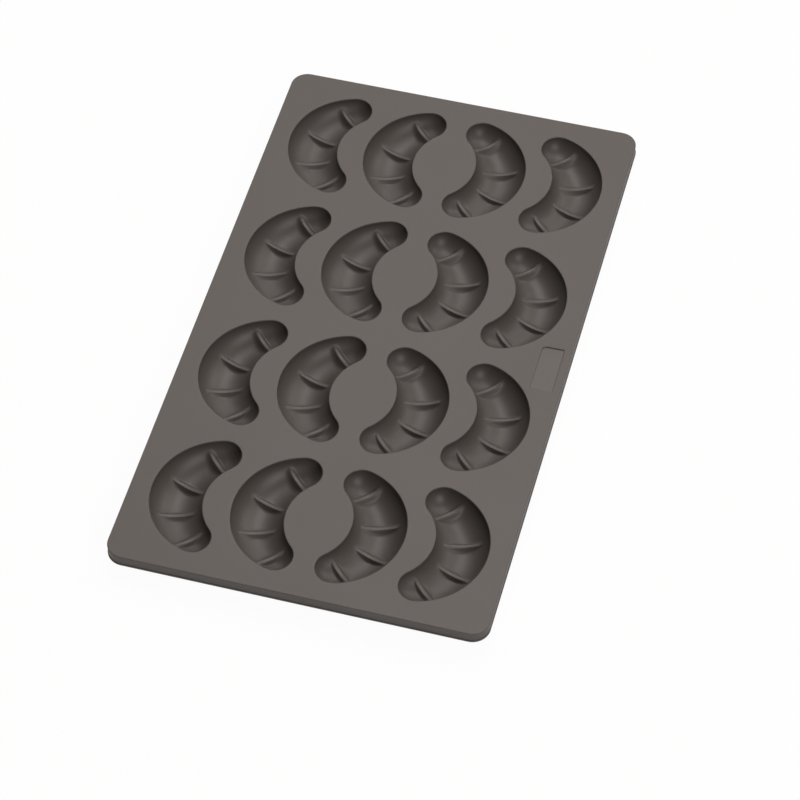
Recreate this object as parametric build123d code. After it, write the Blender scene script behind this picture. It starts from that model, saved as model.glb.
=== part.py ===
from build123d import *
import math
import os

os.makedirs("parts", exist_ok=True)

# A crescent cookie mold: one silicone moulding with sixteen crescent cavities in a flat deck.
# Millimetres. The cups' feet stand on Z = 0, X runs across the mold and Y along it.

# Plan of one crescent
outer_radius = 31.9  # of the bulging edge
inner_radius = 23.4  # of the hollow edge
arc_offset = 16.0  # from the centre of the bulging edge to the centre of the hollow one
tip_radius = 8.15  # of the two rounded tips

# Cavity
cavity_depth = 11.2  # at the middle of the crescent

# Ribs on the cavity floor
rib_angles = (-51.0, -17.0, 17.0, 51.0)  # about the crescent's middle point
rib_height = 1.95  # above the lowest line of the floor
rib_crest = 1.0  # width of the flat crest
rib_flank = 56.0  # slope of the flanks, in degrees
rib_rise = 8.0  # slope of the crest from its middle up towards both walls, in degrees

# Walls
deck_thickness = 1.8
cup_wall = 1.6  # between the cavity and the outside of its cup
foot_cut = 0.3  # how much of the round underside of a cup its flat foot takes away

# Flat facets of the rounded skins. The sides are counted around a whole section.
inside_sides = 16
inside_facet = 7.5  # longest facet of a cavity along its bulging edge
inside_tip_turn = 30.0  # how far one facet goes round a tip of a cavity, in degrees
outside_sides = 12
outside_facet = 12.0
outside_tip_turn = 45.0

# Layout
columns = 4
rows = 4
column_web = 13.4  # flat web between two crescents of neighbouring columns, at their middles
row_gap = 9.8  # between the tips of neighbouring rows
middle_gap = 10.3  # between the tips of the two middle columns
side_margin = 9.6  # from the bulging edges to the side wall
end_margin = 10.4  # from the tips to the end walls

# Rim
rim_height = 6.2  # from the top of the deck to the bottom of the lip
rim_thickness = 1.6
corner_radius = 8.0  # of the rim wall, seen from above
edge_bevel = 0.4  # where the deck turns down into the rim
lip_out = 0.2  # how far the lip stands out from the rim wall
lip_height = 1.2

# Worked-out sizes
deck_top = cavity_depth + cup_wall - foot_cut
deck_under = deck_top - deck_thickness
mid_half = (outer_radius - inner_radius + arc_offset) / 2
depth_ratio = cavity_depth / mid_half
ball_ratio = (1 + depth_ratio**2) / (2 * depth_ratio)

# Every circle that touches both long edges of the crescent has its centre on an ellipse.
# The foci of that ellipse are the centres of the two edges' arcs.
spine_x = arc_offset / 2
spine_long = (outer_radius + inner_radius) / 2
spine_short = math.sqrt(spine_long**2 - spine_x**2)

# Centre of the upper tip's arc, which touches both long edges
tip_x = (outer_radius - tip_radius) ** 2 - (inner_radius + tip_radius) ** 2 + arc_offset**2
tip_x = tip_x / (2 * arc_offset)
tip_y = math.sqrt((outer_radius - tip_radius) ** 2 - tip_x**2)
tip_turn = math.acos((tip_x - spine_x) / spine_long)
bulge_length = 2 * (math.pi - math.atan2(tip_y, tip_x)) * outer_radius

crescent_width = outer_radius + tip_x + tip_radius
crescent_length = 2 * (tip_y + tip_radius)
column_pitch = 2 * mid_half + column_web
row_pitch = crescent_length + row_gap
tip_reach = tip_x + tip_radius
cell_margin = (column_pitch - crescent_width) / 2

inner_column_x = middle_gap / 2 + tip_reach
block_half = inner_column_x + column_pitch + outer_radius + cell_margin
pattern_half_length = (rows * crescent_length + (rows - 1) * row_gap) / 2
rim_width = 2 * (inner_column_x + column_pitch + outer_radius + side_margin)
rim_length = 2 * (pattern_half_length + end_margin)
window_half = middle_gap / 2 - cell_margin

print("overall", round(rim_width + 2 * lip_out, 2), round(rim_length + 2 * lip_out, 2), deck_top)
print("pitch", round(column_pitch, 2), round(row_pitch, 2), "crescent", round(crescent_length, 2))


def spine_circle(turn):
    """The circle on the spine at this turn that touches both edges: its centre, its radius and
    the points where it touches the bulging edge and the hollow edge."""
    centre = Vector(spine_x + spine_long * math.cos(turn), spine_short * math.sin(turn))
    hollow_centre = Vector(arc_offset, 0)
    radius = outer_radius - centre.length
    on_bulge = centre + centre.normalized() * radius
    on_hollow = centre + (hollow_centre - centre).normalized() * radius
    return centre, radius, on_bulge, on_hollow


def facet_ring(centre, forward, radius, angle, sides):
    """The corners of a regular polygon around one circle of a ball, upright and square to the
    forward direction. The angle says how far forward of the ball's centre the circle lies."""
    plane = Plane(origin=centre + forward * radius * math.sin(angle), x_dir=(0, 0, 1), z_dir=forward)
    reach = radius * math.cos(angle) / math.cos(math.pi / sides)
    turns = [math.pi * (2 * k + 1) / sides for k in range(sides)]
    return [plane.from_local_coords((reach * math.cos(t), reach * math.sin(t), 0)) for t in turns]


def rolled_rings(grow, sides, facet, tip_facet_turn):
    """Rings of points around a ball that rolls along the spine from tip to tip and touches both
    edges at deck level. The ball is grown by this much, and its own ends close both tips."""
    spans = math.ceil(bulge_length / facet)
    tip_spans = math.ceil(90 / tip_facet_turn)
    rings = []
    for i in range(spans + 1):
        turn = tip_turn + 2 * (math.pi - tip_turn) * i / spans
        foot, half, on_bulge, on_hollow = spine_circle(turn)
        touch_radius = ball_ratio * half
        centre = foot + Vector(0, 0, deck_top + touch_radius - depth_ratio * half)
        forward = (on_hollow - on_bulge).cross(Vector(0, 0, 1)).normalized()
        touch_angle = math.asin((on_bulge - foot).dot(forward) / touch_radius)
        angles = [touch_angle]
        if i in (0, spans):
            end = math.pi / 2 if i else -math.pi / 2
            angles += [touch_angle + (end - touch_angle) * k / tip_spans for k in range(1, tip_spans + 1)]
        around = [facet_ring(centre, forward, touch_radius + grow, angle, sides) for angle in angles]
        rings += around if i else around[::-1]
    return rings


def faceted_solid(rings):
    """A closed solid of flat triangles through rings of points. The end rings are points."""
    faces = []
    last = len(rings) - 2
    for i, (near, far) in enumerate(zip(rings, rings[1:])):
        for k in range(len(near)):
            n = (k + 1) % len(near)
            if i > 0:
                faces.append(Face(Wire.make_polygon([near[k], near[n], far[n]])))
            if i < last:
                faces.append(Face(Wire.make_polygon([near[k], far[n], far[k]])))
    return Solid(Shell(faces))


def rib(angle):
    """A bar across the cavity floor with two sloping flanks. Its flat crest rises from the middle
    of the floor towards both walls."""
    turn = math.pi + math.atan2(
        spine_long * math.sin(math.radians(angle)), spine_short * math.cos(math.radians(angle))
    )
    foot, half, _, _ = spine_circle(turn)
    across = (foot - Vector(spine_x, 0)).normalized()
    upwards = Vector(0, 0, 1)
    below = cup_wall / 2
    spread = (rib_height + below) / math.tan(math.radians(rib_flank))
    crest = rib_crest / 2
    plane = Plane(
        origin=foot + upwards * (deck_top - depth_ratio * half),
        x_dir=upwards.cross(across),
        z_dir=across,
    )
    profile = Polyline(
        (-crest, rib_height), (crest, rib_height), (crest + spread, -below), (-crest - spread, -below),
        close=True,
    )
    face = plane * make_face(profile)
    rise = upwards * math.tan(math.radians(rib_rise))
    return extrude(face, half, dir=across + rise) + extrude(face, half, dir=rise - across)


def cell():
    """One cavity that bulges towards -X, with its cup and the flat web around it."""
    under = Box(column_pitch, row_pitch, deck_under, align=(Align.MIN, Align.CENTER, Align.MIN))
    web = Box(column_pitch, row_pitch, deck_thickness, align=(Align.MIN, Align.CENTER, Align.MIN))
    left_edge = -outer_radius - cell_margin
    outside = rolled_rings(cup_wall, outside_sides, outside_facet, outside_tip_turn)
    inside = rolled_rings(0, inside_sides, inside_facet, inside_tip_turn)
    cup = faceted_solid(outside) & Pos(left_edge, 0, 0) * under
    space = faceted_solid(inside)
    for angle in rib_angles:
        space -= rib(angle)
    return Pos(left_edge, 0, deck_under) * web + cup - space


def column(number, left_cell, right_cell):
    """The four cells of one column. The left half of the mold bulges to the left."""
    from_middle = columns / 2 - number if number < columns / 2 else number - columns / 2 + 1
    x = inner_column_x + (from_middle - 1) * column_pitch
    shape, side = (left_cell, -1) if number < columns / 2 else (right_cell, 1)
    places = [row_pitch * (i - (rows - 1) / 2) for i in range(rows)]
    return Compound(children=[Pos(side * x, y) * shape for y in places])


def ring(outside_grow, inside_grow, bottom, top):
    """A closed wall along the rim, between two offsets of the rim's outer face."""
    with BuildPart() as wall:
        with BuildSketch(Plane.XY.offset(bottom)):
            for grow, mode in ((outside_grow, Mode.ADD), (inside_grow, Mode.SUBTRACT)):
                RectangleRounded(
                    rim_width + 2 * grow, rim_length + 2 * grow, corner_radius + grow, mode=mode
                )
        extrude(amount=top - bottom)
    return wall.part


def deck_frame():
    """The flat border of the deck with the strip between the two middle columns."""
    plate = Pos(0, 0, deck_under) * extrude(
        RectangleRounded(rim_width, rim_length, corner_radius), deck_thickness
    )
    plate = chamfer(plate.edges().group_by(Axis.Z)[-1], edge_bevel)
    window_width = block_half - window_half
    window = Box(window_width, rows * row_pitch, 3 * deck_thickness)
    for side in (-1, 1):
        plate -= Pos(side * (window_half + window_width / 2), 0, deck_top) * window
    return plate


left_cell = cell()
right_cell = mirror(left_cell, about=Plane.YZ)
for number in range(columns):
    export_step(column(number, left_cell, right_cell), f"parts/cavity_column_{number + 1}.step")

rim_bottom = deck_top - rim_height
lip_top = rim_bottom + lip_height
export_step(deck_frame(), "parts/deck_frame.step")
export_step(ring(0, -rim_thickness, lip_top, deck_under), "parts/rim_wall.step")
export_step(ring(lip_out, -rim_thickness, rim_bottom, lip_top), "parts/rim_lip.step")
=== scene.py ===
import math

import bmesh
import bpy
import numpy as np
from mathutils import Matrix, Vector

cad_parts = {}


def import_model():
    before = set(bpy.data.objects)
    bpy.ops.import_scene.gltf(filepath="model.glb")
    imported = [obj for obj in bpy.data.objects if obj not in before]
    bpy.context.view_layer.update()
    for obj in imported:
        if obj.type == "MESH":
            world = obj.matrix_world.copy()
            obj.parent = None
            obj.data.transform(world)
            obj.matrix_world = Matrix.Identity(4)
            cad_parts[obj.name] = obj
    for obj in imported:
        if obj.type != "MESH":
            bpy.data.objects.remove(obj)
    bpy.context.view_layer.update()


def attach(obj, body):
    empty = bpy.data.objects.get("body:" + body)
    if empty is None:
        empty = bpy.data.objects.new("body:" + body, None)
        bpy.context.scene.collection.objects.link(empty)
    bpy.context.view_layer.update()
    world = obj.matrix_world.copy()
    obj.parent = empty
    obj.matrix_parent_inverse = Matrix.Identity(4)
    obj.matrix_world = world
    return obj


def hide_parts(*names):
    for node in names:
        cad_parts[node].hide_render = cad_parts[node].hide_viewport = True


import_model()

# Sizes are in millimetres and angles in degrees, unless a comment says otherwise.
MM = 0.001
WELD = 0.002  # corners closer than this become one

# Plan of one crescent, the walls and the layout, as in the solids
OUTER_RADIUS = 31.9
INNER_RADIUS = 23.4
ARC_OFFSET = 16.0
TIP_RADIUS = 8.15
CAVITY_DEPTH = 11.2
CUP_WALL = 1.6
FOOT_CUT = 0.3
DECK_THICKNESS = 1.8
ROWS = 4
COLUMN_WEB = 13.4
ROW_GAP = 9.8
MIDDLE_GAP = 10.3
SIDE_MARGIN = 9.6
END_MARGIN = 10.4

# Ribs on the cavity floor. Their height and slope are those of the solids. Their crests are wider
# and bowed, and the outer two stand further out and are turned.
RIB_ANGLES = (-53.0, -17.0, 17.0, 53.0)  # about the middle of the ellipse
RIB_HEIGHT = 1.95
RIB_CREST = 1.6
RIB_SLOPE = math.tan(math.radians(56.0))
RIB_BLEND = 0.14  # softness where a rib meets the floor
RIB_EDGE = 0.1  # softness of the crest's edges
RIB_BOW = 2.1  # radius of the crest's bow, in halves of the cavity's width
RIB_REACH = 1.1  # how far a rib goes to each side, in halves of the cavity's width
RIB_SPREAD = 4.0  # how far from its middle a rib can raise the floor
RIB_TWIST = 9.0  # turn of the outer ribs
TWIST_START = 0.45  # in radians about the middle of the ellipse
TWIST_SPAN = 0.4  # in radians, until the whole turn is reached

# Rim, as in the solids
RIM_HEIGHT = 6.2
RIM_THICKNESS = 1.6
LIP_OUT = 0.2
LIP_HEIGHT = 1.2
CORNER_RADIUS = 8.0

# Steps of the mesh
RIB_STEPS = (0.35, 0.64, 0.75, 0.83, 0.95, 1.15, 1.45, 1.85, 2.35)  # from a rib's middle
FLOOR_STEP = 1.15
CAVITY_TIP_STEPS = 16
CUP_TIP_STEPS = 8
CUP_SPANS = 36
CAVITY_TILTS = (13, 19, 26, 33, 40, 47, 54, 60, 66, 71.5, 76.5, 81, 85.5, 90)
CUP_TILTS = (24, 34, 44, 54, 63, 72, 81, 90)
MOUTH_TURNS = (0, 22, 45, 68, 90)
FILLET_TURNS = (0, 30, 60, 90)
DECK_TURNS = (0, 18, 36, 54, 72, 90)
LIP_TURNS = (0, 30, 60, 90)
CORNER_STEPS = 14
PLATE_STEPS = 6

# Roundings that only the visible skin has
MOUTH_ROUND = 0.5
MOUTH_EASE = 0.3  # how far the rounding moves in, as a share of its radius
DECK_ROUND = 0.25
WALL_DRAFT = 0.1  # how far the wall leans in above the lip
LIP_EDGE = 0.12
LIP_ROUND = 0.3
EDGE_MIDDLE = 0.3 * LIP_EDGE  # how far in the middle corner of the lip's edge lies
RIM_ROOT = 0.8  # fillet between the rim's inside and the underside of the deck
ROOT_MIDDLE = 0.25  # how far in the middle corner of that fillet lies
CUP_FILLET = 1.2

# Flat strips of the deck that belong to the mesh of what they go round
MOUTH_STRIP = 0.35
CUP_STRIP = 0.4
DECK_STRIP = 0.5
ROOT_STRIP = 0.4

# Bare sunk plate at the right edge, with one rounded corner at its far left
PLATE_X = (72.9, 83.4)
PLATE_Y = (-13.6, 11.75)
PLATE_DEPTH = 0.2  # at the near left
PLATE_FAR_SINK = 0.42
PLATE_RIGHT_LIFT = 0.14
PLATE_CORNERS = (0.5, 2.3, 0.5, 0.5)  # far right, far left, near left, near right
PLATE_PROFILE = (  # distance beyond the edge, share of the plate's depth, and depth added to it
    (0.3, 0, 0),
    (0, 0, 0),
    (-0.03, 0, 0.02),
    (-0.05, 1, -0.02),
    (-0.08, 1, 0),
    (-0.4, 1, 0),
)
PLATE_FLOOR_DOWN = 0.04  # corners of the plate deeper than this belong to its floor

# Colours of the silicone, and a painted sheen for the floor of the plate
DARK_PATCH = (0.0655, 0.0585, 0.0520, 1)
LIGHT_PATCH = (0.0715, 0.0640, 0.0570, 1)
# Painted sheen: a lighter colour for the floor of the sunk plate
PLATE_SHEEN_TONE = (0.0840, 0.0765, 0.0685, 1)
DUST_TONE = (0.15, 0.14, 0.13, 1)
DUST_SHARE = 0.06

# Floor, background and lamps. Boxes: name, elevation, azimuth and power in watts.
FLOOR_SIZE = 6.0  # metres
FLOOR_GAP = 0.1  # below the feet, so that floor and feet don't share a plane
FLOOR_WHITE = 0.96  # share of plain white in what the camera sees of the floor
AMBIENT = 0.01
BOX_SIZE = 0.9  # metres
BOX_DISTANCE = 2.0  # metres
BOX_COLOUR = (1.0, 0.927, 0.911)
SOFT_BOXES = (
    ("high_back_box", 72, 90, 15.6),
    ("back_box", 52, 107, 9.2),
    ("right_front_box", 35, -45, 18.0),
    ("right_back_box", 35, 45, 10.8),
    ("left_back_box", 35, 135, 3.9),
    ("low_back_box", 15, 90, 6.6),
)

# Camera, in the photograph's view
IMAGE_PIXELS = 800
FOCAL_PIXELS = 3064.9
SENSOR_WIDTH = 36.0
CAMERA_AZIMUTH = 16.857
CAMERA_ELEVATION = 52.652
CAMERA_ROLL = -1.873
CAMERA_TARGET = (17.33, -35.24)  # on the deck's top
CAMERA_DISTANCE = 1.3984  # metres
CLIP_END = 20.0  # metres

# Worked-out sizes
DECK_TOP = CAVITY_DEPTH + CUP_WALL - FOOT_CUT
DECK_UNDER = DECK_TOP - DECK_THICKNESS
MID_HALF = (OUTER_RADIUS - INNER_RADIUS + ARC_OFFSET) / 2
DEPTH_RATIO = CAVITY_DEPTH / MID_HALF
BALL_RATIO = (1 + DEPTH_RATIO**2) / (2 * DEPTH_RATIO)
LIFT_RATIO = BALL_RATIO - DEPTH_RATIO
SPINE_X = ARC_OFFSET / 2
SPINE_LONG = (OUTER_RADIUS + INNER_RADIUS) / 2
SPINE_SHORT = math.sqrt(SPINE_LONG**2 - SPINE_X**2)
TIP_X = ((OUTER_RADIUS - TIP_RADIUS) ** 2 - (INNER_RADIUS + TIP_RADIUS) ** 2 + ARC_OFFSET**2) / (
    2 * ARC_OFFSET
)
TIP_Y = math.sqrt((OUTER_RADIUS - TIP_RADIUS) ** 2 - TIP_X**2)
TIP_TURN = math.acos((TIP_X - SPINE_X) / SPINE_LONG)
COLUMN_PITCH = 2 * MID_HALF + COLUMN_WEB
ROW_PITCH = 2 * (TIP_Y + TIP_RADIUS) + ROW_GAP
INNER_COLUMN_X = MIDDLE_GAP / 2 + TIP_X + TIP_RADIUS
RIM_HALF_X = INNER_COLUMN_X + COLUMN_PITCH + OUTER_RADIUS + SIDE_MARGIN
RIM_HALF_Y = (ROWS - 1) / 2 * ROW_PITCH + TIP_Y + TIP_RADIUS + END_MARGIN


# Meshes

def spine(turns):
    """Points on the crescent's middle line, and half its width there."""
    foot = np.stack([SPINE_X + SPINE_LONG * np.cos(turns), SPINE_SHORT * np.sin(turns)], -1)
    return foot, OUTER_RADIUS - np.hypot(foot[:, 0], foot[:, 1])


def unit(v):
    return v / np.linalg.norm(v, axis=-1, keepdims=True)


def across_floor(foot):
    """The way across the floor at these points of the middle line. Towards the tips it turns
    away from the middle of the ellipse, as the outer ribs do."""
    way = foot - np.array([SPINE_X, 0.0])
    angle = np.arctan2(way[:, 1], -way[:, 0])
    share = np.clip((np.abs(angle) - TWIST_START) / TWIST_SPAN, 0, 1)
    angle = angle - np.radians(RIB_TWIST) * np.sign(angle) * share
    return np.stack([-np.cos(angle), np.sin(angle)], -1)


def rib_turns():
    """Turns along the middle line at which the ribs stand."""
    a = np.radians(RIB_ANGLES)
    return np.pi + np.arctan2(SPINE_LONG * np.sin(a), SPINE_SHORT * np.cos(a))


def body_turns(fine):
    """Turns along the middle line from one tip to the other, closer together at the ribs."""
    ends = (TIP_TURN, 2 * math.pi - TIP_TURN)
    if not fine:
        return np.linspace(*ends, CUP_SPANS + 1)
    turns = []
    start = ends[0]
    for turn in rib_turns():
        speed = math.hypot(SPINE_LONG * math.sin(turn), SPINE_SHORT * math.cos(turn))
        steps = np.array(RIB_STEPS) / speed
        around = np.concatenate([turn - steps[::-1], [turn], turn + steps])
        spans = max(2, round((around[0] - start) * speed / FLOOR_STEP))
        turns += [np.linspace(start, around[0], spans + 1)[:-1], around[:-1]]
        start = around[-1]
    spans = round((ends[1] - start) * SPINE_LONG / FLOOR_STEP)
    return np.concatenate(turns + [np.linspace(start, ends[1], spans + 1)])


def stations(fine):
    """One station for each corner of a ring around the crescent: the point of the middle line that
    it belongs to, half the width there, the way out to the edge and the way across the floor."""
    turns = body_turns(fine)
    foot, half = spine(turns)
    to_bulge = unit(foot)
    to_hollow = unit(np.array([ARC_OFFSET, 0.0]) - foot)
    across = across_floor(foot)
    tip_steps = CAVITY_TIP_STEPS if fine else CUP_TIP_STEPS
    feet, halves, outs, overs = [], [], [], []

    def add(i, out, over):
        feet.append(foot[i])
        halves.append(half[i])
        outs.append(out)
        overs.append(over)

    def add_tip(i, start_out, end_out, start_over):
        """Stations that turn about the last point of the middle line, round one tip."""
        out, end, over = (math.atan2(way[1], way[0]) for way in (start_out, end_out, start_over))
        sweep = (end - out) % (2 * math.pi)
        for k in range(1, tip_steps):
            a = out + sweep * k / tip_steps
            b = over + math.pi * k / tip_steps
            out_way = np.array([math.cos(a), math.sin(a)])
            over_way = np.array([math.cos(b), math.sin(b)])
            add(i, out_way, over_way)

    last = len(turns) - 1
    for i in range(last + 1):
        add(i, to_bulge[i], across[i])
    add_tip(last, to_bulge[last], to_hollow[last], across[last])
    for i in range(last, -1, -1):
        add(i, to_hollow[i], -across[i])
    add_tip(0, to_hollow[0], to_bulge[0], -across[0])
    return np.array(feet), np.array(halves), np.array(outs), np.array(overs)


DENSE_TURNS = np.linspace(TIP_TURN, 2 * np.pi - TIP_TURN, 721)
DENSE_FOOT, DENSE_HALF = spine(DENSE_TURNS)


def skin_height(points, grow):
    """Height of the skin that a ball leaves as it rolls along the middle line."""
    radius = BALL_RATIO * DENSE_HALF + grow
    lift = LIFT_RATIO * DENSE_HALF
    away = ((points[:, None, :] - DENSE_FOOT[None]) ** 2).sum(-1)
    under = np.sqrt(np.maximum(radius**2 - away, 0))
    return DECK_TOP + np.where(away < radius**2, lift - under, 1e3).min(1)


def smooth_max(a, b, blend):
    """The larger of two values, with a soft change from one to the other."""
    return (a + b + np.sqrt((a - b) ** 2 + blend**2)) / 2


def with_ribs(points, heights):
    """The floor raised to the ribs: bars across it with a soft crest that bows up at its ends."""
    turns = rib_turns()
    foot, half = spine(turns)
    for f, h, across in zip(foot, half, across_floor(foot)):
        along = np.array([-across[1], across[0]])
        near = points - f
        side = np.abs(near @ along)
        reach = near @ across
        crest = DECK_TOP - DEPTH_RATIO * h + RIB_HEIGHT + reach**2 / (2 * RIB_BOW * h)
        edge = side - RIB_CREST / 2
        flank = crest - RIB_SLOPE * smooth_max(edge, 0, RIB_EDGE)
        close = (np.abs(reach) < RIB_REACH * h) & (side < RIB_SPREAD)
        lift = smooth_max(heights, flank, RIB_BLEND) - heights
        heights = heights + np.where(close, lift, 0)
    return heights


def ring_points(base, far, down):
    """A ring at this distance beyond the edge and this far below the deck's top."""
    feet, halves, outs, _ = base
    xy = feet + outs * (halves + far)[:, None]
    return np.column_stack([xy, np.full(len(xy), DECK_TOP - down)])


def skin_ring(base, tilt, grow):
    """Places and heights of a ring of the rolled skin. The tilt, in radians, goes from the mouth
    down to the middle line."""
    feet, halves, outs, overs = base
    radius = BALL_RATIO * halves + grow
    reach = radius * np.cos(tilt)
    share = np.clip(reach / (halves + grow), 0, 1)[:, None] ** 2
    way = unit((1 - share) * overs + share * outs)
    xy = feet + way * reach[:, None]
    heights = skin_height(xy, grow)
    return xy, heights


def loop_verts(bm, count):
    """A closed loop made from a circle, in order around it."""
    made = bmesh.ops.create_circle(bm, cap_ends=False, segments=count, radius=1.0)
    verts = made["verts"]
    return sorted(verts, key=lambda v: math.atan2(v.co.y, v.co.x))


def move_loop(verts, points):
    """Puts each corner of a loop at its point, given in millimetres."""
    for v, p in zip(verts, points):
        v.co = Vector(p) * MM


def next_ring(bm, verts, points):
    """Extrudes a loop of edges and moves the new loop to its place."""
    count = len(verts)
    edges = [bm.edges.get((verts[i], verts[(i + 1) % count])) for i in range(count)]
    made = bmesh.ops.extrude_edge_only(bm, edges=edges)
    fresh = {e for e in made["geom"] if isinstance(e, bmesh.types.BMVert)}
    following = []
    for v in verts:
        partner = next(e.other_vert(v) for e in v.link_edges if e.other_vert(v) in fresh)
        following.append(partner)
    move_loop(following, points)
    return following


def skin(fine):
    """The inside of one cavity, or the outside of its cup, as rings from the deck to the floor."""
    bm = bmesh.new()
    base = stations(fine)
    halves = base[1]
    if fine:
        grow, top, rounding, ease, strip = 0.0, 0.0, MOUTH_ROUND, MOUTH_EASE, MOUTH_STRIP
        turns, tilts = MOUTH_TURNS, CAVITY_TILTS
    else:
        grow, top, rounding, ease, strip = CUP_WALL, DECK_THICKNESS, CUP_FILLET, 0.0, CUP_STRIP
        turns, tilts = FILLET_TURNS, CUP_TILTS
    # the skin meets the rounding where the rounding ends below the flat face
    radius = BALL_RATIO * halves + grow
    sink = LIFT_RATIO * halves + top + rounding
    inset = np.sqrt(radius**2 - sink**2) - halves - ease * rounding
    verts = loop_verts(bm, len(halves))
    move_loop(verts, ring_points(base, inset + rounding + strip, top))
    for turn in turns:
        a = math.radians(turn)
        far = inset + rounding * (1 - math.sin(a))
        down = top + rounding * (1 - math.cos(a))
        verts = next_ring(bm, verts, ring_points(base, far, down))
    for tilt in np.radians(tilts):
        xy, heights = skin_ring(base, tilt, grow)
        heights = with_ribs(xy, heights) if fine else np.maximum(heights, 0)
        verts = next_ring(bm, verts, np.column_stack([xy, heights]))
    bmesh.ops.remove_doubles(bm, verts=verts, dist=WELD * MM)
    mesh = bpy.data.meshes.new("skin")
    bm.to_mesh(mesh)
    bm.free()
    return mesh


def rounded_loop(half_x, half_y, radii, segments):
    """Points of a rounded rectangle, anticlockwise from its right side, one radius a corner."""
    points = []
    for k, (sx, sy) in enumerate(((1, 1), (-1, 1), (-1, -1), (1, -1))):
        centre_x, centre_y = sx * (half_x - radii[k]), sy * (half_y - radii[k])
        for i in range(segments + 1):
            a = math.pi / 2 * (k + i / segments)
            points.append((centre_x + radii[k] * math.cos(a), centre_y + radii[k] * math.sin(a)))
    return points


def rim_ring(grow, down):
    """A ring round the mold, this far outside the rim wall and this far below the deck's top."""
    radii = [CORNER_RADIUS + grow] * 4
    xy = rounded_loop(RIM_HALF_X + grow, RIM_HALF_Y + grow, radii, CORNER_STEPS)
    return [(x, y, DECK_TOP - down) for x, y in xy]


def rim_rings():
    """Rings over the rim, from the deck's top round the edge, down the wall, over the lip and up
    its inside to the underside of the deck."""
    rings = [(-DECK_ROUND - DECK_STRIP, 0.0)]
    for turn in DECK_TURNS:
        a = math.radians(turn)
        rings.append((-DECK_ROUND * (1 - math.sin(a)), DECK_ROUND * (1 - math.cos(a))))
    lip_down = RIM_HEIGHT - LIP_HEIGHT
    rings.append((-WALL_DRAFT, lip_down - LIP_EDGE))
    rings.append((-WALL_DRAFT + EDGE_MIDDLE, lip_down - EDGE_MIDDLE))
    rings.append((-WALL_DRAFT + LIP_EDGE, lip_down))
    rings.append((LIP_OUT - LIP_EDGE, lip_down))
    rings.append((LIP_OUT - EDGE_MIDDLE, lip_down + EDGE_MIDDLE))
    rings.append((LIP_OUT, lip_down + LIP_EDGE))
    for turn in LIP_TURNS:
        a = math.radians(turn)
        grow = LIP_OUT - LIP_ROUND * (1 - math.cos(a))
        rings.append((grow, RIM_HEIGHT - LIP_ROUND * (1 - math.sin(a))))
    inside = -RIM_THICKNESS
    rings.append((inside + LIP_ROUND, RIM_HEIGHT))
    rings.append((inside, RIM_HEIGHT - LIP_ROUND))
    rings.append((inside, DECK_THICKNESS + RIM_ROOT))
    rings.append((inside - ROOT_MIDDLE, DECK_THICKNESS + ROOT_MIDDLE))
    rings.append((inside - RIM_ROOT, DECK_THICKNESS))
    rings.append((inside - RIM_ROOT - ROOT_STRIP, DECK_THICKNESS))
    return rings


def plate_rings():
    """Rings of the bare sunk plate: its edge on the deck, its small wall and its floor, which
    is deepest at the far left."""
    cx, cy = sum(PLATE_X) / 2, sum(PLATE_Y) / 2
    hx, hy = (PLATE_X[1] - PLATE_X[0]) / 2, (PLATE_Y[1] - PLATE_Y[0]) / 2
    rings = []
    for grow, share, down in PLATE_PROFILE:
        radii = [radius + grow for radius in PLATE_CORNERS]
        ring = []
        for x, y in rounded_loop(hx + grow, hy + grow, radii, PLATE_STEPS):
            far_sink = PLATE_FAR_SINK * (y / hy + 1) / 2
            right_lift = PLATE_RIGHT_LIFT * (x / hx + 1) / 2
            depth = PLATE_DEPTH + far_sink - right_lift
            ring.append((x + cx, y + cy, DECK_TOP - share * depth - down))
        rings.append(ring)
    return rings


def fill_flat(bm, loops, upwards):
    """Fills the flat sheet between an outer loop and the loops of its openings."""
    edges = []
    for verts in loops:
        count = len(verts)
        edges += [bm.edges.get((verts[i], verts[(i + 1) % count])) for i in range(count)]
    normal = Vector((0, 0, 1 if upwards else -1))
    bmesh.ops.triangle_fill(bm, use_beauty=True, use_dissolve=False, edges=edges, normal=normal)


def boundary_loops(bm, height):
    """Open loops of edges at this height, each in order."""
    left = {
        e
        for e in bm.edges
        if e.is_boundary and all(abs(v.co.z - height * MM) < 1e-6 for v in e.verts)
    }
    loops = []
    while left:
        edge = left.pop()
        start, here = edge.verts
        loop = [start, here]
        while True:
            following = [e for e in here.link_edges if e in left]
            if not following:
                break
            left.discard(following[0])
            here = following[0].other_vert(here)
            if here is start:
                break
            loop.append(here)
        loops.append(loop)
    return loops


def add_skins(bm, fine):
    """Adds the sixteen cavities or cups. The two left columns bulge left, the two others right."""
    source = skin(fine)
    for x, side in (
        (-INNER_COLUMN_X - COLUMN_PITCH, 1),
        (-INNER_COLUMN_X, 1),
        (INNER_COLUMN_X, -1),
        (INNER_COLUMN_X + COLUMN_PITCH, -1),
    ):
        for row in range(ROWS):
            y = ROW_PITCH * (row - (ROWS - 1) / 2)
            place = Matrix.Translation((x * MM, y * MM, 0))
            placed = source.copy()
            placed.transform(place @ Matrix.Diagonal((side, 1, 1, 1)))
            bm.from_mesh(placed)
            bpy.data.meshes.remove(placed)
    bpy.data.meshes.remove(source)


def add_rings(bm, rings):
    """Adds a band through these rings, and gives back its last loop."""
    verts = loop_verts(bm, len(rings[0]))
    move_loop(verts, rings[0])
    for ring in rings[1:]:
        verts = next_ring(bm, verts, ring)
    return verts


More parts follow.
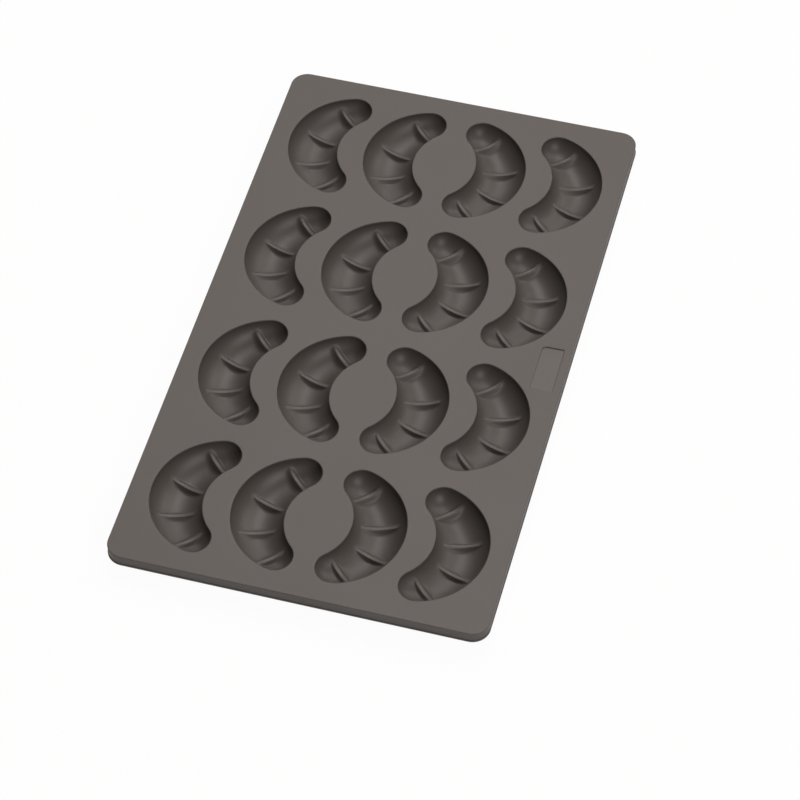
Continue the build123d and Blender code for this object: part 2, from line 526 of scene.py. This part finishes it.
def mold_mesh():
    """The whole mold as one closed skin."""
    bm = bmesh.new()
    add_skins(bm, True)
    add_skins(bm, False)
    add_rings(bm, [rim_ring(*ring) for ring in rim_rings()])
    bm.faces.new(add_rings(bm, plate_rings()))
    fill_flat(bm, boundary_loops(bm, DECK_TOP), True)
    fill_flat(bm, boundary_loops(bm, DECK_UNDER), False)
    bmesh.ops.remove_doubles(bm, verts=bm.verts, dist=WELD * MM)
    bmesh.ops.recalc_face_normals(bm, faces=bm.faces)
    mesh = bpy.data.meshes.new("silicone_mold")
    bm.to_mesh(mesh)
    bm.free()
    for face in mesh.polygons:
        face.use_smooth = True
    # Marks the floor of the plate, which the material paints lighter as a painted sheen
    plate_floor = mesh.attributes.new("plate_floor", "FLOAT", "POINT")
    for point, vert in zip(plate_floor.data, mesh.vertices):
        x, y, z = vert.co / MM
        inside = PLATE_X[0] < x < PLATE_X[1] and PLATE_Y[0] < y < PLATE_Y[1]
        point.value = 1.0 if inside and z < DECK_TOP - PLATE_FLOOR_DOWN else 0.0
    return mesh


# Materials

def silicone_grain():
    """Fine grain, soft patches and dust of moulded silicone, in the object's own coordinates."""
    group = bpy.data.node_groups.new("silicone_grain", "ShaderNodeTree")
    for name in ("Grain Scale", "Patch Scale"):
        group.interface.new_socket(name, in_out="INPUT", socket_type="NodeSocketFloat")
    for name in ("Grain", "Patch", "Dust"):
        group.interface.new_socket(name, in_out="OUTPUT", socket_type="NodeSocketFloat")
    nodes, links = group.nodes, group.links
    enter = nodes.new("NodeGroupInput")
    leave = nodes.new("NodeGroupOutput")
    place = nodes.new("ShaderNodeTexCoord")
    grain = nodes.new("ShaderNodeTexNoise")
    grain.inputs["Detail"].default_value = 3.0
    patch = nodes.new("ShaderNodeTexNoise")
    patch.inputs["Detail"].default_value = 2.0
    dust = nodes.new("ShaderNodeTexNoise")
    dust.inputs["Scale"].default_value = 900.0
    dust.inputs["Detail"].default_value = 1.0
    spots = nodes.new("ShaderNodeMapRange")
    spots.inputs["From Min"].default_value = 0.68
    spots.inputs["From Max"].default_value = 0.78
    links.new(place.outputs["Object"], grain.inputs["Vector"])
    links.new(place.outputs["Object"], patch.inputs["Vector"])
    links.new(place.outputs["Object"], dust.inputs["Vector"])
    links.new(enter.outputs["Grain Scale"], grain.inputs["Scale"])
    links.new(enter.outputs["Patch Scale"], patch.inputs["Scale"])
    links.new(dust.outputs["Fac"], spots.inputs["Value"])
    links.new(grain.outputs["Fac"], leave.inputs["Grain"])
    links.new(patch.outputs["Fac"], leave.inputs["Patch"])
    links.new(spots.outputs["Result"], leave.inputs["Dust"])
    return group


def silicone_material():
    """Matt brown-grey silicone, with a painted sheen that makes the floor of the plate a little
    lighter.
    """
    material = bpy.data.materials.new("brown_grey_silicone")
    material.use_nodes = True
    nodes, links = material.node_tree.nodes, material.node_tree.links
    shader = nodes["Principled BSDF"]
    grain = nodes.new("ShaderNodeGroup")
    grain.node_tree = silicone_grain()
    grain.inputs["Grain Scale"].default_value = 2600.0
    grain.inputs["Patch Scale"].default_value = 22.0
    tone = nodes.new("ShaderNodeMix")
    tone.data_type = "RGBA"
    tone.inputs["A"].default_value = DARK_PATCH
    tone.inputs["B"].default_value = LIGHT_PATCH
    dusted = nodes.new("ShaderNodeMix")
    dusted.data_type = "RGBA"
    dusted.inputs["B"].default_value = DUST_TONE
    faint = nodes.new("ShaderNodeMath")
    faint.operation = "MULTIPLY"
    faint.inputs[1].default_value = DUST_SHARE
    rough = nodes.new("ShaderNodeMapRange")
    rough.inputs["To Min"].default_value = 0.47
    rough.inputs["To Max"].default_value = 0.53
    bump = nodes.new("ShaderNodeBump")
    bump.inputs["Strength"].default_value = 0.2
    bump.inputs["Distance"].default_value = 0.00003
    # Painted sheen: the floor of the plate is mixed towards a lighter colour
    plate_floor = nodes.new("ShaderNodeAttribute")
    plate_floor.attribute_name = "plate_floor"
    painted_sheen = nodes.new("ShaderNodeMix")
    painted_sheen.data_type = "RGBA"
    painted_sheen.inputs["B"].default_value = PLATE_SHEEN_TONE
    links.new(grain.outputs["Patch"], tone.inputs["Factor"])
    links.new(tone.outputs["Result"], dusted.inputs["A"])
    links.new(grain.outputs["Dust"], faint.inputs[0])
    links.new(faint.outputs["Value"], dusted.inputs["Factor"])
    links.new(dusted.outputs["Result"], painted_sheen.inputs["A"])
    links.new(plate_floor.outputs["Fac"], painted_sheen.inputs["Factor"])
    links.new(painted_sheen.outputs["Result"], shader.inputs["Base Color"])
    links.new(grain.outputs["Patch"], rough.inputs["Value"])
    links.new(rough.outputs["Result"], shader.inputs["Roughness"])
    links.new(grain.outputs["Grain"], bump.inputs["Height"])
    links.new(bump.outputs["Normal"], shader.inputs["Normal"])
    return material


def backdrop_white(nodes, links, shade):
    """Mostly plain white for the camera, reflections and refractions. The rest of what they see
    is the floor's own shade, so that the shadow stays."""
    white = nodes.new("ShaderNodeEmission")
    white.inputs["Color"].default_value = (1, 1, 1, 1)
    path = nodes.new("ShaderNodeLightPath")
    seen = nodes.new("ShaderNodeMath")
    seen.operation = "MAXIMUM"
    seen_too = nodes.new("ShaderNodeMath")
    seen_too.operation = "MAXIMUM"
    part = nodes.new("ShaderNodeMath")
    part.operation = "MULTIPLY"
    part.inputs[1].default_value = FLOOR_WHITE
    mix = nodes.new("ShaderNodeMixShader")
    links.new(path.outputs["Is Camera Ray"], seen.inputs[0])
    links.new(path.outputs["Is Glossy Ray"], seen.inputs[1])
    links.new(seen.outputs["Value"], seen_too.inputs[0])
    links.new(path.outputs["Is Transmission Ray"], seen_too.inputs[1])
    links.new(seen_too.outputs["Value"], part.inputs[0])
    links.new(part.outputs["Value"], mix.inputs["Fac"])
    links.new(shade, mix.inputs[1])
    links.new(white.outputs["Emission"], mix.inputs[2])
    return mix.outputs["Shader"]


def floor():
    """Plain pale floor under the mold."""
    bm = bmesh.new()
    under_feet = Matrix.Translation((0, 0, -FLOOR_GAP * MM))
    bmesh.ops.create_grid(bm, x_segments=2, y_segments=2, size=FLOOR_SIZE, matrix=under_feet)
    mesh = bpy.data.meshes.new("floor")
    bm.to_mesh(mesh)
    bm.free()
    ground = bpy.data.objects.new("floor", mesh)
    bpy.context.scene.collection.objects.link(ground)
    material = bpy.data.materials.new("pale_floor")
    material.use_nodes = True
    nodes, links = material.node_tree.nodes, material.node_tree.links
    shader = nodes["Principled BSDF"]
    shader.inputs["Base Color"].default_value = (0.8, 0.8, 0.8, 1)
    shader.inputs["Roughness"].default_value = 0.9
    surface = backdrop_white(nodes, links, shader.outputs["BSDF"])
    links.new(surface, nodes["Material Output"].inputs["Surface"])
    mesh.materials.append(material)


def world():
    """Faint even light all around, and plain white for the camera."""
    sky = bpy.data.worlds.new("studio")
    bpy.context.scene.world = sky
    sky.use_nodes = True
    nodes, links = sky.node_tree.nodes, sky.node_tree.links
    soft = nodes["Background"]
    soft.inputs["Color"].default_value = (1, 1, 1, 1)
    soft.inputs["Strength"].default_value = AMBIENT
    white = nodes.new("ShaderNodeBackground")
    white.inputs["Color"].default_value = (1, 1, 1, 1)
    white.inputs["Strength"].default_value = 1.0
    path = nodes.new("ShaderNodeLightPath")
    mix = nodes.new("ShaderNodeMixShader")
    links.new(path.outputs["Is Camera Ray"], mix.inputs["Fac"])
    links.new(soft.outputs["Background"], mix.inputs[1])
    links.new(white.outputs["Background"], mix.inputs[2])
    links.new(mix.outputs["Shader"], nodes["World Output"].inputs["Surface"])


def soft_box(name, elevation, azimuth, power):
    """A square lamp that faces the mold from this height and this side, in degrees."""
    data = bpy.data.lights.new(name, "AREA")
    data.size = BOX_SIZE
    data.energy = power
    data.color = BOX_COLOUR
    lamp = bpy.data.objects.new(name, data)
    bpy.context.scene.collection.objects.link(lamp)
    up, turn = math.radians(elevation), math.radians(azimuth)
    level = math.cos(up)
    place = Vector((level * math.cos(turn), level * math.sin(turn), math.sin(up)))
    lamp.location = place * BOX_DISTANCE
    lamp.rotation_euler = (-place).to_track_quat("-Z", "Y").to_euler()


def camera():
    """The photograph's view: a long lens from the near right, well above the mold."""
    azimuth, elevation, roll = (
        math.radians(angle) for angle in (CAMERA_AZIMUTH, CAMERA_ELEVATION, CAMERA_ROLL)
    )
    target = Vector((*CAMERA_TARGET, DECK_TOP)) * MM
    away = Vector(
        (
            math.sin(azimuth) * math.cos(elevation),
            -math.cos(azimuth) * math.cos(elevation),
            math.sin(elevation),
        )
    )
    right = Vector((math.cos(azimuth), math.sin(azimuth), 0))
    up = away.cross(right)
    turned_right = right * math.cos(roll) + up * math.sin(roll)
    turned_up = up * math.cos(roll) - right * math.sin(roll)
    data = bpy.data.cameras.new("camera")
    data.sensor_width = SENSOR_WIDTH
    data.lens = FOCAL_PIXELS / IMAGE_PIXELS * SENSOR_WIDTH
    data.clip_end = CLIP_END
    view = bpy.data.objects.new("camera", data)
    bpy.context.scene.collection.objects.link(view)
    turn = Matrix((turned_right, turned_up, away)).transposed()
    view.matrix_world = Matrix.Translation(target + away * CAMERA_DISTANCE) @ turn.to_4x4()
    bpy.context.scene.camera = view


mold = bpy.data.objects.new("silicone_mold", mold_mesh())
bpy.context.scene.collection.objects.link(mold)
mold.data.materials.append(silicone_material())
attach(mold, "root")
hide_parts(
    "cavity_column_1",
    "cavity_column_2",
    "cavity_column_3",
    "cavity_column_4",
    "deck_frame",
    "rim_wall",
    "rim_lip",
)

floor()
world()
for box in SOFT_BOXES:
    soft_box(*box)
camera()

bpy.context.scene.view_settings.view_transform = "Standard"
